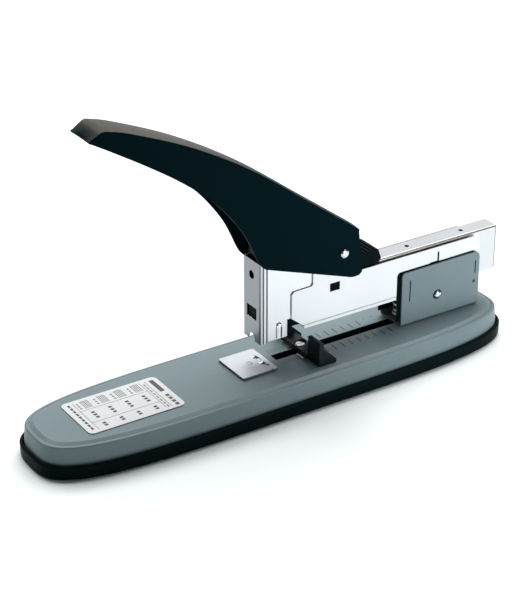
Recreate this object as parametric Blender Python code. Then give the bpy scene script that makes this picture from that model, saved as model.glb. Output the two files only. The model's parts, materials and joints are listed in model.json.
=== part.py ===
"""Long reach stapler for thick stacks of paper, as separate pieces in one frame.

Run it with blender --background --python part.py. Lengths below are in millimetres.
The origin is under the middle of the base, on the surface that the stapler stands on.
+X runs from the nose of the base to its rear, +Y to the far side and +Z up.
"""

import math

import bmesh
import bpy
from mathutils import Matrix, Vector

MM = 0.001

# Base
BASE_HALF_LENGTH = 145.0
BASE_HALF_WIDTH = 32.4
BASE_END_POWER = 4.5
BASE_SIDE_POWER = 3.3
BASE_POINTS = 72
TRAY_BOTTOM = 0.5
TRAY_TOP = 8.1
DECK = 18.5
DECK_SHEET = 1.2
FOOT_RADIUS = 7.0
FOOT_X = 112.0
FOOT_Y = 15.0
GAP = 0.3

# What is fixed on the deck
LABEL_X = -91.0
LABEL_HALF = (27.5, 16.7)
ANVIL_X = -16.1
ANVIL_HALF = (10.8, 12.4)
ANVIL_TOP = 20.0
ANVIL_RIVET = (-15.2, 0.0)
SLOT_X = (-0.2, 80.0)
SLOT_HALF_WIDTH = 2.9
SLOT_LIP = 0.7
SLOT_LIP_BOTTOM = 15.5
BRACKET_HALF_WIDTH = 9.5
BRACKET_SHEET = 1.1
BRACKET_FLOOR = DECK + GAP
BRACKET_RIVETS = ((98.0, -5.0), (98.0, 5.0), (122.0, -5.0), (122.0, 5.0))

# Joint axes
ARM_PIVOT = (101.3, 32.2)
HANDLE_PIVOT = (37.0, 74.3)
GUIDE_X = 17.0

# Arm
PLATE_OUT = 8.1
PLATE_IN = 7.5
PLATE_TOP = 60.4
HEAD_OUT = 7.2
HEAD_IN = 6.6
COVER_OUT = 8.6
COVER_SHEET = 0.7
COVER_FRONT = -13.8
COVER_TOP = 80.0
HEAD_BOTTOM = 33.8
RAIL_OUT = 5.5
RAIL_SHEET = 0.8
RAIL_TOP = 61.8
RAIL_X = (-9.7, 144.2)
GRIP_BOTTOM = 61.9
ROD_Z = 54.0
PIN_Z = 49.5
RETURN_SPRING_X = 86.0
HANDLE_SPRING_X = 25.5
BLADE_X = -11.2
BLADE_TIP = 63.0
DRIVER_TOP = 96.8

# Handle
HANDLE_OUT = 10.4
HANDLE_SHEET = 1.2
ROLLER = (0.0, 100.1)
ROLLER_RADIUS = 3.0


# ---------------------------------------------------------------- outlines

def arc(centre, radius, start_deg, end_deg, steps):
    """Points on an arc, both ends included."""
    points = []
    for i in range(steps + 1):
        a = math.radians(start_deg + (end_deg - start_deg) * i / steps)
        points.append((centre[0] + radius * math.cos(a), centre[1] + radius * math.sin(a)))
    return points


def rounded(corners, steps=4):
    """A closed outline from (x, y, radius) corners, each corner with its own fillet."""
    points = []
    count = len(corners)
    for i, (x, y, radius) in enumerate(corners):
        here = Vector((x, y))
        if radius <= 0:
            points.append((x, y))
            continue
        before = (Vector(corners[i - 1][:2]) - here).normalized()
        after = (Vector(corners[(i + 1) % count][:2]) - here).normalized()
        half = before.angle(after) / 2
        reach = radius / math.tan(half)
        centre = here + (before + after).normalized() * (radius / math.sin(half))
        first = here + before * reach - centre
        last = here + after * reach - centre
        for k in range(steps + 1):
            mix = first.lerp(last, k / steps).normalized() * radius
            points.append((centre.x + mix.x, centre.y + mix.y))
    return points


def rectangle(centre, half, radius=0.0, steps=4):
    """A rectangle with equal corner radii, counter-clockwise."""
    x, y = centre
    a, b = half
    return rounded([(x - a, y - b, radius), (x + a, y - b, radius),
                    (x + a, y + b, radius), (x - a, y + b, radius)], steps)


def smooth(points, steps=3):
    """A Catmull-Rom curve through a few points, both ends included."""
    line = [Vector(p) for p in points]
    line = [line[0] * 2 - line[1]] + line + [line[-1] * 2 - line[-2]]
    result = []
    for i in range(1, len(line) - 2):
        a, b, c, d = line[i - 1:i + 3]
        for k in range(steps):
            t = k / steps
            p = 0.5 * (2 * b + (c - a) * t + (2 * a - 5 * b + 4 * c - d) * t * t
                       + (3 * b - 3 * c + d - a) * t ** 3)
            result.append((p.x, p.y))
    result.append(tuple(points[-1]))
    return result


def offset_line(points, distance):
    """An open line moved sideways, to the right of its direction."""
    result = []
    for i, point in enumerate(points):
        before = Vector(points[max(i - 1, 0)])
        after = Vector(points[min(i + 1, len(points) - 1)])
        along = (after - before).normalized()
        result.append((point[0] + along.y * distance, point[1] - along.x * distance))
    return result


def base_outline(inset):
    """The base's oval seen from above, moved in by inset."""
    points = []
    for i in range(BASE_POINTS):
        a = 2 * math.pi * (i + 0.5) / BASE_POINTS
        c, s = math.cos(a), math.sin(a)
        x = math.copysign(abs(c) ** (2 / BASE_END_POWER), c) * (BASE_HALF_LENGTH - inset)
        y = math.copysign(abs(s) ** (2 / BASE_SIDE_POWER), s) * (BASE_HALF_WIDTH - inset)
        points.append((x, y))
    return points


# ---------------------------------------------------------------- solids

def on_axis(axis, u, v, w):
    """A point with outline coordinates (u, v) at height w along an axis."""
    if axis == "X":
        return Vector((w, u, v))
    if axis == "Y":
        return Vector((u, w, v))
    return Vector((u, v, w))


def prism(outline, axis, low, high, holes=()):
    """An outline with holes, extruded along X (outline in Y, Z), Y (in X, Z) or Z (in X, Y)."""
    bm = bmesh.new()
    edges = []
    for loop in [outline, *holes]:
        verts = [bm.verts.new(on_axis(axis, u, v, low)) for u, v in loop]
        edges += [bm.edges.new((verts[i - 1], verts[i])) for i in range(len(verts))]
    bmesh.ops.triangle_fill(bm, use_beauty=True, edges=edges)
    swept = bmesh.ops.extrude_face_region(bm, geom=bm.faces[:])
    top = [g for g in swept["geom"] if isinstance(g, bmesh.types.BMVert)]
    bmesh.ops.translate(bm, verts=top, vec=on_axis(axis, 0, 0, high - low))
    bmesh.ops.recalc_face_normals(bm, faces=bm.faces[:])
    return bm


def loft(rings):
    """A closed solid through loops with equal point counts, each a list of 3-D points."""
    bm = bmesh.new()
    loops = [[bm.verts.new(p) for p in ring] for ring in rings]
    for lower, upper in zip(loops, loops[1:]):
        for i in range(len(lower)):
            bm.faces.new((lower[i - 1], lower[i], upper[i], upper[i - 1]))
    bm.faces.new(loops[0])
    bm.faces.new(loops[-1])
    bmesh.ops.recalc_face_normals(bm, faces=bm.faces[:])
    return bm


def turned(profile, centre, axis, segments=16, closed=False):
    """A turned solid. The profile is (radius, height) pairs, from one end of the axis to the other,
    or a closed loop around the axis for a ring."""
    bm = bmesh.new()
    columns = []
    for i in range(segments):
        a = 2 * math.pi * i / segments
        columns.append([])
        for radius, height in profile:
            u = centre[0] + radius * math.cos(a)
            v = centre[1] + radius * math.sin(a)
            columns[-1].append(bm.verts.new(on_axis(axis, u, v, height)))
    count = len(profile)
    for i in range(segments):
        here, before = columns[i], columns[i - 1]
        for k in range(count if closed else count - 1):
            n = (k + 1) % count
            bm.faces.new((before[k], here[k], here[n], before[n]))
    if not closed:
        bm.faces.new([column[0] for column in columns])
        bm.faces.new([column[-1] for column in columns])
    bmesh.ops.recalc_face_normals(bm, faces=bm.faces[:])
    return bm


def coil(start, length, axis, radius, wire, turns, per_turn=12, sides=6):
    """A coil spring that starts at a point and runs along +X or +Z."""
    bm = bmesh.new()
    rings = []
    count = int(turns * per_turn)
    pitch = length - 2 * wire
    for i in range(count + 1):
        a = 2 * math.pi * i / per_turn
        rise = wire + pitch * i / count
        out = Vector((math.cos(a), math.sin(a), 0))
        middle = out * radius + Vector((0, 0, rise))
        ring = []
        for k in range(sides):
            b = 2 * math.pi * k / sides
            ring.append(middle + (out * math.cos(b) + Vector((0, 0, 1)) * math.sin(b)) * wire)
        rings.append(ring)
    if axis == "X":
        turn = Matrix.Rotation(math.pi / 2, 3, "Y")
        rings = [[turn @ p for p in ring] for ring in rings]
    loops = [[bm.verts.new(Vector(start) + p) for p in ring] for ring in rings]
    for lower, upper in zip(loops, loops[1:]):
        for k in range(sides):
            bm.faces.new((lower[k - 1], lower[k], upper[k], upper[k - 1]))
    bm.faces.new(loops[0])
    bm.faces.new(loops[-1])
    bmesh.ops.recalc_face_normals(bm, faces=bm.faces[:])
    return bm


# ---------------------------------------------------------------- objects

def material(name, colour, roughness, metallic=0.0):
    """A Principled material of one colour."""
    made = bpy.data.materials.new(name)
    made.use_nodes = True
    shader = made.node_tree.nodes["Principled BSDF"]
    shader.inputs["Base Color"].default_value = (*colour, 1.0)
    shader.inputs["Roughness"].default_value = roughness
    shader.inputs["Metallic"].default_value = metallic
    return made


def frame(name, origin, parent=None):
    """An empty on a joint's axis, which the pieces of one moving body hang from."""
    empty = bpy.data.objects.new(name, None)
    bpy.context.scene.collection.objects.link(empty)
    empty.parent = parent
    base = Vector(parent["origin"]) if parent else Vector()
    empty["origin"] = origin
    empty.location = (Vector(origin) - base) * MM
    return empty


def piece(name, bm, finish, body):
    """Turns a solid in millimetres into an object whose origin is its body's origin."""
    origin = Vector(body["origin"])
    bmesh.ops.transform(bm, matrix=Matrix.Scale(MM, 4) @ Matrix.Translation(-origin),
                        verts=bm.verts[:])
    mesh = bpy.data.meshes.new(name)
    bm.to_mesh(mesh)
    bm.free()
    mesh.shade_smooth()
    mesh.set_sharp_from_angle(angle=math.radians(35))
    if finish:
        mesh.materials.append(finish)
    made = bpy.data.objects.new(name, mesh)
    bpy.context.scene.collection.objects.link(made)
    made.parent = body
    return made


def combine(target, bm, operation="DIFFERENCE"):
    """Cuts a solid from an object, or joins it on, with a Boolean whose tool stays hidden."""
    body = target.parent
    tool = piece(f"{target.name}_tool_{len(target.modifiers)}", bm, None, body)
    tool.hide_render = True
    tool.display_type = "WIRE"
    step = target.modifiers.new("cut", "BOOLEAN")
    step.operation = operation
    step.solver = "EXACT"
    step.object = tool
    return target


# ---------------------------------------------------------------- base

def ring_at(inset, z):
    """One loop of the base's oval at a height."""
    return [Vector((x, y, z)) for x, y in base_outline(inset)]


def base_tray(body, finish):
    """The black tray: a flat floor with a low wall and a rounded lip, with pockets for the feet."""
    wall = 1.7
    tray = loft([ring_at(1.0, TRAY_BOTTOM), ring_at(0.0, 1.6), ring_at(0.0, 7.3),
                 ring_at(0.5, TRAY_TOP), ring_at(wall - 0.2, TRAY_TOP), ring_at(wall, 7.4),
                 ring_at(wall, 3.3)])
    made = piece("base_tray", tray, finish, body)
    for x, y in foot_places():
        combine(made, turned([(FOOT_RADIUS + GAP, -1.0), (FOOT_RADIUS + GAP, 2.4)], (x, y), "Z", 20))
    return made


def foot_places():
    """The four feet, two near each end."""
    return [(x, y) for x in (-FOOT_X, FOOT_X) for y in (-FOOT_Y, FOOT_Y)]


def feet(body, finish):
    """Round rubber feet that sit in the tray's pockets and carry the stapler."""
    for i, (x, y) in enumerate(foot_places()):
        profile = [(FOOT_RADIUS - 0.6, 0.0), (FOOT_RADIUS, 0.5), (FOOT_RADIUS, 2.1)]
        piece(f"rubber_foot_{i + 1}", turned(profile, (x, y), "Z", 20), finish, body)


def base_shell(body, finish):
    """The grey pressed-steel deck: thin, open below, with a beaded shoulder and a lipped slot."""
    outer = [(2.2, 3.6), (2.2, 8.4), (2.4, 12.5), (2.8, 16.2), (3.1, 17.2), (3.8, 17.6),
             (4.9, 17.3), (6.3, 17.9), (7.4, DECK)]
    inner = [(3.4, 3.6), (3.4, 8.4), (3.6, 12.3), (4.0, 15.6), (4.6, 16.1), (6.6, 16.7),
             (8.2, DECK - DECK_SHEET)]
    rings = [ring_at(inset, z) for inset, z in reversed(inner)]
    rings += [ring_at(inset, z) for inset, z in outer]
    made = piece("base_shell", loft(rings), finish, body)
    slot_middle = (sum(SLOT_X) / 2, 0.0)
    slot_half = ((SLOT_X[1] - SLOT_X[0]) / 2, SLOT_HALF_WIDTH)
    lip_half = (slot_half[0] + SLOT_LIP, slot_half[1] + SLOT_LIP)
    lip = rectangle(slot_middle, lip_half, 1.0, 1)
    combine(made, prism(lip, "Z", SLOT_LIP_BOTTOM, DECK - 0.7), "UNION")
    combine(made, prism(rectangle(slot_middle, slot_half, 0.4, 1), "Z", 14.0, 21.0))
    for place in (ANVIL_RIVET, *BRACKET_RIVETS):
        combine(made, turned([(1.9, 14.0), (1.9, 21.0)], place, "Z", 12))
    return made


def label(body, finish):
    """The printed plate on the nose of the base."""
    outline = rectangle((LABEL_X, 0.0), LABEL_HALF, 3.0)
    piece("label", prism(outline, "Z", DECK + GAP, DECK + GAP + 0.2), finish, body)


def anvil_plate(body, finish):
    """The clinching plate, with two shallow grooves that fold the staple's legs inward."""
    hole = circle(ANVIL_RIVET, 1.9)
    plate = prism(rectangle((ANVIL_X, 0.0), ANVIL_HALF, 2.2), "Z", DECK + GAP, ANVIL_TOP, [hole])
    made = piece("anvil_plate", plate, finish, body)
    for y in (-4.1, 4.1):
        groove = rectangle((-9.3, y), (1.0, 2.9), 0.9, 2)
        combine(made, prism(groove, "Z", ANVIL_TOP - 0.6, ANVIL_TOP + 1.0))
    return made


def circle(centre, radius, count=12):
    """A circle as an outline."""
    return arc(centre, radius, 0, 360 * (count - 1) / count, count - 1)


def rivet_profile(head_z, tail_z, head=2.6):
    """A rivet with a low domed head above and an upset tail below."""
    return [(head, tail_z - 1.2), (head, tail_z), (1.5, tail_z), (1.5, head_z),
            (head, head_z), (head - 0.2, head_z + 0.4), (head * 0.6, head_z + 0.8)]


def deck_rivets(body, finish):
    """The rivet of the anvil and the four that hold the rear bracket."""
    under = DECK - DECK_SHEET - GAP
    piece("anvil_rivet", turned(rivet_profile(ANVIL_TOP + GAP, under, 2.4), ANVIL_RIVET, "Z", 14),
          finish, body)
    seat = BRACKET_FLOOR + BRACKET_SHEET + GAP
    for i, place in enumerate(BRACKET_RIVETS):
        piece(f"bracket_rivet_{i + 1}", turned(rivet_profile(seat, under), place, "Z", 12),
              finish, body)


def rear_bracket(body, finish):
    """The folded bracket that carries the arm: a floor and two tall cheeks with a pin hole."""
    cheek = rounded([(76.8, BRACKET_FLOOR, 0), (130.4, BRACKET_FLOOR, 0.6), (130.0, 51.4, 3.6),
                     (76.8, 51.0, 1.8)])
    hole = circle(ARM_PIVOT, 2.5, 16)
    made = piece("rear_bracket", prism(cheek, "Y", -BRACKET_HALF_WIDTH, BRACKET_HALF_WIDTH, [hole]),
                 finish, body)
    inside = BRACKET_HALF_WIDTH - BRACKET_SHEET
    floor = BRACKET_FLOOR + BRACKET_SHEET
    room = rounded([(-inside, floor, 0.8), (inside, floor, 0.8), (inside, 60.0, 0), (-inside, 60.0, 0)], 2)
    combine(made, prism(room, "X", 70.0, 140.0))
    for place in BRACKET_RIVETS:
        combine(made, turned([(1.9, 14.0), (1.9, 24.0)], place, "Z", 12))
    return made


def main_pivot_pin(body, finish):
    """The headed pin through the bracket's cheeks, which the arm turns on."""
    end = BRACKET_HALF_WIDTH + GAP
    profile = [(1.6, -end - 1.2), (2.7, -end - 0.6), (2.7, -end), (2.1, -end),
               (2.1, end), (2.7, end), (2.7, end + 0.6), (1.6, end + 1.2)]
    piece("main_pivot_pin", turned(profile, ARM_PIVOT, "Y", 20), finish, body)


def return_spring(body, finish):
    """The coil spring under the arm, which lifts the head off the anvil."""
    bottom = BRACKET_FLOOR + BRACKET_SHEET + GAP
    piece("return_spring", coil((RETURN_SPRING_X, 0.0, bottom), 35.2 - bottom, "Z", 6.0, 0.7, 4.5),
          finish, body)


# ---------------------------------------------------------------- paper guide

def paper_guide(body, finish):
    """The black paper stop: a bridge under the arm and an upright with a foot on each side."""
    front = GUIDE_X - 3.4
    bottom = DECK + GAP + 0.9
    bridge = [(front, bottom), (front + 7.6, bottom), (front + 7.6, 22.8),
              (front + 7.2, 23.2), (front + 5.2, 23.2), (front + 0.6, 21.4), (front, 20.9)]
    made = piece("paper_guide", prism(bridge, "Y", -11.3, 11.3), finish, body)
    front += 0.8
    foot = DECK + GAP
    side = [(front, foot), (front + 10.8, foot), (front + 10.8, 20.8), (front + 2.8, 28.6),
            (front + 2.4, 32.0), (front + 2.0, 32.4), (front + 0.4, 32.4), (front, 32.0)]
    for low, high in ((-21.8, -11.0), (11.0, 21.8)):
        combine(made, prism(side, "Y", low, high), "UNION")
    pocket = turned([(3.05, 21.0), (3.05, 26.0)], (GUIDE_X, 0.0), "Z", 16)
    combine(made, pocket)
    combine(made, turned([(1.8, 18.0), (1.8, 23.0)], (GUIDE_X, 0.0), "Z", 12))
    return made


def guide_fittings(body, steel):
    """The steel slide plate, the clamp screw and the clamp nut of the paper guide."""
    front = GUIDE_X - 5.2
    plate = [(front, -10.2), (front + 12.0, -10.2), (front + 12.0, 10.2), (front, 10.2),
             (front, 4.0), (front + 2.0, 4.0), (front + 2.0, -4.0), (front, -4.0)]
    hole = circle((GUIDE_X, 0.0), 1.8)
    piece("guide_plate", prism(plate, "Z", DECK + GAP, DECK + GAP + 0.6, [hole]), steel, body)
    profile = [(1.5, 12.0), (1.5, 21.3), (2.75, 21.3), (2.75, 21.9), (2.3, 22.3)]
    piece("guide_screw", turned(profile, (GUIDE_X, 0.0), "Z", 20), steel, body)
    nut = rectangle((GUIDE_X, 0.0), (5.0, 4.6), 1.0, 2)
    under = SLOT_LIP_BOTTOM - GAP
    piece("guide_nut", prism(nut, "Z", under - 2.6, under, [hole]), steel, body)


# ---------------------------------------------------------------- arm

def mirrored_plates(name, outline, holes, inner, outer, finish, body):
    """The near plate of a pair and its copy on the far side."""
    piece(f"{name}_near", prism(outline, "Y", -outer, -inner, holes), finish, body)
    piece(f"{name}_far", prism(outline, "Y", inner, outer, holes), finish, body)


def side_plates(body, finish):
    """The long plates beside the magazine, with ears for the handle and tabs for the pivot pin."""
    bottom = 37.8
    outline = [(13.2, bottom), (90.6, bottom)]
    outline += arc(ARM_PIVOT, 7.4, 212, 330, 8)
    outline += [(112.0, bottom)]
    outline += rounded([(130.4, bottom, 0), (130.4, PLATE_TOP, 4.2), (43.6, PLATE_TOP, 0)])
    outline += arc(HANDLE_PIVOT, 6.6, 0, 75, 4)
    outline += [(28.0, 79.0), (19.2, 71.0)]
    outline += [(19.2, 60.3), (18.3, 59.3), (7.4, 59.0), (5.9, 57.6), (5.9, 43.6)]
    window = rectangle((33.1, 55.2), (3.2, 2.4))
    latch = [(101.2, 52.3), (101.2, 57.5), (102.4, 57.5), (102.4, 50.9), (96.3, 50.9), (96.3, 52.3)]
    holes = [circle(ARM_PIVOT, 2.5, 16), circle(HANDLE_PIVOT, 2.4, 16), window, latch]
    mirrored_plates("side_plate", outline, holes, PLATE_IN, PLATE_OUT, finish, body)


def head_plates(body, finish):
    """The plates beside the driver, inside the side plates and the front cover."""
    outline = [(-12.6, HEAD_BOTTOM), (3.6, HEAD_BOTTOM), (3.6, 43.6), (28.0, 43.6), (28.0, 59.8),
               (18.9, 59.8), (18.9, 74.0), (10.0, 79.6), (-12.6, 79.6)]
    mirrored_plates("head_plate", outline, [], HEAD_IN, HEAD_OUT, finish, body)


def head_cover(body, finish):
    """The folded cover on the front of the head, with a round and a square opening and a notch."""
    back = -9.2
    section = rounded([(COVER_FRONT, -COVER_OUT, 1.2), (back, -COVER_OUT, 0), (back, COVER_OUT, 0),
                       (COVER_FRONT, COVER_OUT, 1.2)], 3)
    made = piece("head_cover", prism(section, "Z", HEAD_BOTTOM, COVER_TOP), finish, body)
    inner = COVER_OUT - COVER_SHEET
    room = rectangle((0.0, 0.0), (-(COVER_FRONT + COVER_SHEET), inner), 0.5, 2)
    combine(made, prism(room, "Z", 20.0, 90.0))
    openings = [circle((0.0, 71.5), 2.3, 16), rectangle((0.0, 49.0), (4.9, 3.3))]
    openings.append([(-2.8, 30.0), (2.8, 30.0)] + arc((0.0, 34.8), 2.8, 0, 180, 8))
    for outline in openings:
        combine(made, prism(outline, "X", -20.0, -12.0))
    return made


def core_rail(body, finish):
    """The long inverted channel that the staples ride on, slotted for the follower's pin."""
    front, rear = RAIL_X
    side = [(front, 38.2), (90.0, 38.2), (90.0, 35.6), (rear, 35.6), (rear, RAIL_TOP),
            (front, RAIL_TOP)]
    made = piece("core_rail", prism(side, "Y", -RAIL_OUT, RAIL_OUT), finish, body)
    inner = RAIL_OUT - RAIL_SHEET
    roof = RAIL_TOP - RAIL_SHEET
    room = rounded([(-inner, 20.0, 0), (inner, 20.0, 0), (inner, roof, 0.6), (-inner, roof, 0.6)], 2)
    combine(made, prism(room, "X", -20.0, 160.0))
    slot = rectangle((47.5, PIN_Z), (42.5, 1.4))
    combine(made, prism(slot, "Y", -10.0, 10.0))
    for x in (86.0, 123.2):
        combine(made, turned([(1.25, 58.0), (1.25, 66.0)], (x, 0.0), "Z", 12))
    return made


def bottom_rail(body, finish):
    """The flat bar that closes the magazine from below."""
    bar = rectangle((51.6, 36.5), (37.8, 0.9), 0.3, 1)
    piece("bottom_rail", prism(bar, "Y", -8.0, 8.0), finish, body)


def arm_fittings(body, steel):
    """The handle's rivet, the spacers, the spring bridge, and the rod with its rear block."""
    end = HANDLE_OUT + GAP
    profile = [(1.4, -end - 1.3), (2.3, -end - 0.9), (2.6, -end), (2.0, -end),
               (2.0, end), (2.6, end), (2.3, end + 0.9), (1.4, end + 1.3)]
    piece("handle_rivet", turned(profile, HANDLE_PIVOT, "Y", 20), steel, body)
    width = PLATE_IN - GAP
    spacers = (("handle_spacer", HANDLE_PIVOT, 3.8, 2.3), ("pivot_spacer", ARM_PIVOT, 3.0, 2.4))
    for name, place, outer, inner in spacers:
        ring = [(inner, -width), (inner, width), (outer, width), (outer, -width)]
        piece(name, turned(ring, place, "Y", 16, closed=True), steel, body)
    bridge = rectangle((25.5, 66.9), (5.5, 0.7))
    piece("spring_bridge", prism(bridge, "Y", -width, width), steel, body)
    piece("spring_rod", turned([(1.0, -8.4), (1.2, -8.0), (1.2, 139.0), (1.0, 139.4)],
                               (0.0, ROD_Z), "X", 10), steel, body)
    block = rectangle((0.0, 48.4), (4.3, 12.2), 0.5, 1)
    hole = circle((0.0, ROD_Z), 1.5, 10)
    piece("rod_block", prism(block, "X", 135.0, 140.6, [hole]), steel, body)


def arm_springs(body, steel):
    """The spring behind the follower and the one that lifts the handle."""
    piece("follower_spring", coil((14.4, 0.0, ROD_Z), 120.2, "X", 3.2, 0.45, 20, 10, 5), steel, body)
    piece("handle_spring", coil((HANDLE_SPRING_X, 0.0, 67.9), 27.4, "Z", 4.2, 0.6, 7, 12, 5),
          steel, body)


# ---------------------------------------------------------------- follower

def follower(body, finish):
    """The black staple follower: a long saddle on the rail, with a ribbed grip behind the handle."""
    front = RAIL_X[0] + 0.5
    saddle = rectangle((0.0, 51.0), (6.3, 12.8), 0.4, 1)
    made = piece("follower", prism(saddle, "X", front, 60.0), finish, body)
    grip = [(44.2, GRIP_BOTTOM), (61.6, GRIP_BOTTOM), (63.2, 63.8), (60.6, 70.0)]
    for k in range(4):
        x = 58.8 - 3.4 * k
        grip += [(x, 70.1), (x - 0.5, 69.4), (x - 1.1, 69.4), (x - 1.6, 70.1)]
    grip.append((44.2, 70.1))
    combine(made, prism(grip, "Y", -7.9, 7.9), "UNION")
    inside = RAIL_OUT + GAP
    room = [(-inside, 20.0), (inside, 20.0), (inside, RAIL_TOP + GAP), (-inside, RAIL_TOP + GAP)]
    combine(made, prism(room, "X", front - 5.0, 70.0))
    combine(made, turned([(1.3, -10.0), (1.3, 10.0)], (8.0, PIN_Z), "Y", 12))
    return made


def follower_fittings(body, steel, plastic):
    """The block on the spring's rod and the pin that ties it to the follower."""
    block = rectangle((0.0, 51.8), (4.3, 5.8), 0.5, 1)
    hole = circle((0.0, ROD_Z), 1.5, 10)
    made = piece("inner_pusher", prism(block, "X", 2.0, 14.0, [hole]), plastic, body)
    combine(made, turned([(1.3, -10.0), (1.3, 10.0)], (8.0, PIN_Z), "Y", 12))
    piece("follower_pin", turned([(1.0, -6.2), (1.0, 6.2)], (8.0, PIN_Z), "Y", 10), steel, body)


# ---------------------------------------------------------------- driver

def driver(body, steel):
    """The blade that pushes the staple out, and the block that the handle's roller presses."""
    blade = rectangle((BLADE_X, 0.0), (0.4, 6.2))
    piece("driver_blade", prism(blade, "Z", BLADE_TIP, DRIVER_TOP - 4.8), steel, body)
    block = rectangle((-4.5, 0.0), (7.4, 6.2), 0.6, 1)
    piece("driver_block", prism(block, "Z", DRIVER_TOP - 4.5, DRIVER_TOP), steel, body)


# ---------------------------------------------------------------- handle

def handle_top():
    """The handle's upper line, from its rear to the lip at its tip."""
    line = smooth([(47.0, 86.2), (16.0, 109.0), (-20.0, 135.2), (-54.0, 154.8), (-86.0, 168.7),
                   (-100.3, 173.2)])
    return line + [(-103.0, 172.3), (-105.6, 170.6), (-108.3, 168.2)]


def handle_bottom():
    """The handle's lower line, from its tip back to its front corner beside the head."""
    return smooth([(-108.0, 167.6), (-96.5, 161.2), (-79.9, 150.9), (-62.7, 139.4), (-47.2, 127.2),
                   (-35.9, 116.1), (-24.3, 100.3), (-16.4, 84.5)])


def handle_shell(body, finish):
    """The folded handle: a channel open below and at the rear, with deep cheeks at the pivot."""
    top = handle_top()
    rear = rounded([(-14.0, 78.2, 0), (-11.8, 77.4, 0), (42.0, 58.0, 6.0), (49.2, 63.0, 4.0),
                    (48.4, 83.0, 0)])
    outline = top + handle_bottom() + rear
    made = piece("handle_shell", prism(outline, "Y", -HANDLE_OUT, HANDLE_OUT,
                                       [circle(HANDLE_PIVOT, 2.4, 16)]), finish, body)
    soft = made.modifiers.new("soft edge", "BEVEL")
    soft.width = 1.4 * MM
    soft.segments = 2
    soft.limit_method = "WEIGHT"
    mark_top_edges(made, top)
    roof = offset_line(top, -HANDLE_SHEET)
    roof[0] = (roof[0][0] + 20.0, roof[0][1] - 14.0)
    room = roof + [(-108.4 + HANDLE_SHEET, 150.0), (-60.0, 90.0), (-30.0, 40.0), (80.0, 40.0)]
    inner = HANDLE_OUT - HANDLE_SHEET
    combine(made, prism(room, "Y", -inner, inner))
    return made


def mark_top_edges(shell, top):
    """Gives the long edges of the handle's upper line their bevel weight."""
    mesh = shell.data
    weights = mesh.attributes.new("bevel_weight_edge", "FLOAT", "EDGE")
    origin = Vector(shell.parent["origin"])
    line = {(round(x - origin.x, 2), round(z - origin.z, 2)) for x, z in top}
    for edge in mesh.edges:
        ends = [mesh.vertices[i].co / MM for i in edge.vertices]
        same_side = abs(ends[0].y - ends[1].y) < 0.01
        if same_side and all((round(p.x, 2), round(p.z, 2)) in line for p in ends):
            weights.data[edge.index].value = 1.0


def press_fork(body, finish):
    """The bracket under the handle's roof that carries the roller over the driver."""
    cheek = [(18.0, 103.6), (8.0, 110.9), (6.0, 110.9)]
    cheek += arc(ROLLER, 2.6, 160, 320, 6)
    cheek += [(18.0, 101.8)]
    hole = circle(ROLLER, 1.3, 10)
    made = piece("press_fork", prism(cheek, "Y", -5.9, 5.9, [hole]), finish, body)
    room = [(-10.0, 90.0), (30.0, 90.0), (30.0, 93.2), (5.6, 111.0), (-10.0, 111.0)]
    combine(made, prism(room, "Y", -4.7, 4.7))
    return made


def press_roller(body, steel):
    """The hardened roller and its pin."""
    ring = [(1.3, -4.4), (1.3, 4.4), (ROLLER_RADIUS, 4.4), (ROLLER_RADIUS, -4.4)]
    piece("press_roller", turned(ring, ROLLER, "Y", 20, closed=True), steel, body)
    piece("roller_pin", turned([(1.0, -6.2), (1.0, 6.2)], ROLLER, "Y", 10), steel, body)


# ---------------------------------------------------------------- the stapler

def clear_scene():
    """Starts from an empty scene."""
    for old in list(bpy.data.objects):
        bpy.data.objects.remove(old)


def build():
    """Makes every piece, body by body."""
    clear_scene()
    grey = material("grey_paint", (0.30, 0.34, 0.36), 0.45)
    black_paint = material("black_paint", (0.008, 0.012, 0.015), 0.35)
    black_plastic = material("black_plastic", (0.01, 0.012, 0.014), 0.5)
    rubber = material("rubber", (0.02, 0.02, 0.02), 0.8)
    chrome = material("nickel_plate", (0.86, 0.87, 0.88), 0.2, 1.0)
    steel = material("steel", (0.62, 0.63, 0.65), 0.35, 1.0)
    paper = material("label_paper", (0.72, 0.73, 0.74), 0.5)

    base = frame("base_frame", (0.0, 0.0, 0.0))
    guide = frame("guide_frame", (GUIDE_X, 0.0, DECK), base)
    arm = frame("arm_frame", (ARM_PIVOT[0], 0.0, ARM_PIVOT[1]), base)
    slider = frame("follower_frame", (8.0, 0.0, PIN_Z), arm)
    ram = frame("driver_frame", (BLADE_X, 0.0, BLADE_TIP), arm)
    handle = frame("handle_frame", (HANDLE_PIVOT[0], 0.0, HANDLE_PIVOT[1]), arm)

    base_tray(base, black_plastic)
    feet(base, rubber)
    base_shell(base, grey)
    label(base, paper)
    anvil_plate(base, chrome)
    deck_rivets(base, steel)
    rear_bracket(base, grey)
    main_pivot_pin(base, steel)
    return_spring(base, steel)

    paper_guide(guide, black_plastic)
    guide_fittings(guide, steel)

    side_plates(arm, chrome)
    head_plates(arm, chrome)
    head_cover(arm, chrome)
    core_rail(arm, chrome)
    bottom_rail(arm, chrome)
    arm_fittings(arm, steel)
    arm_springs(arm, steel)

    follower(slider, black_plastic)
    follower_fittings(slider, steel, black_plastic)
    driver(ram, steel)
    handle_shell(handle, black_paint)
    press_fork(handle, black_paint)
    press_roller(handle, steel)


build()
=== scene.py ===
"""The looks of a long reach stapler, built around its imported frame.

Lengths are in millimetres and turn into metres where a mesh becomes an object.
+X runs from the nose of the base to its rear, +Y to the far side and +Z up.
"""

import json
import math

import bmesh
import bpy
from mathutils import Matrix, Vector


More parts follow.
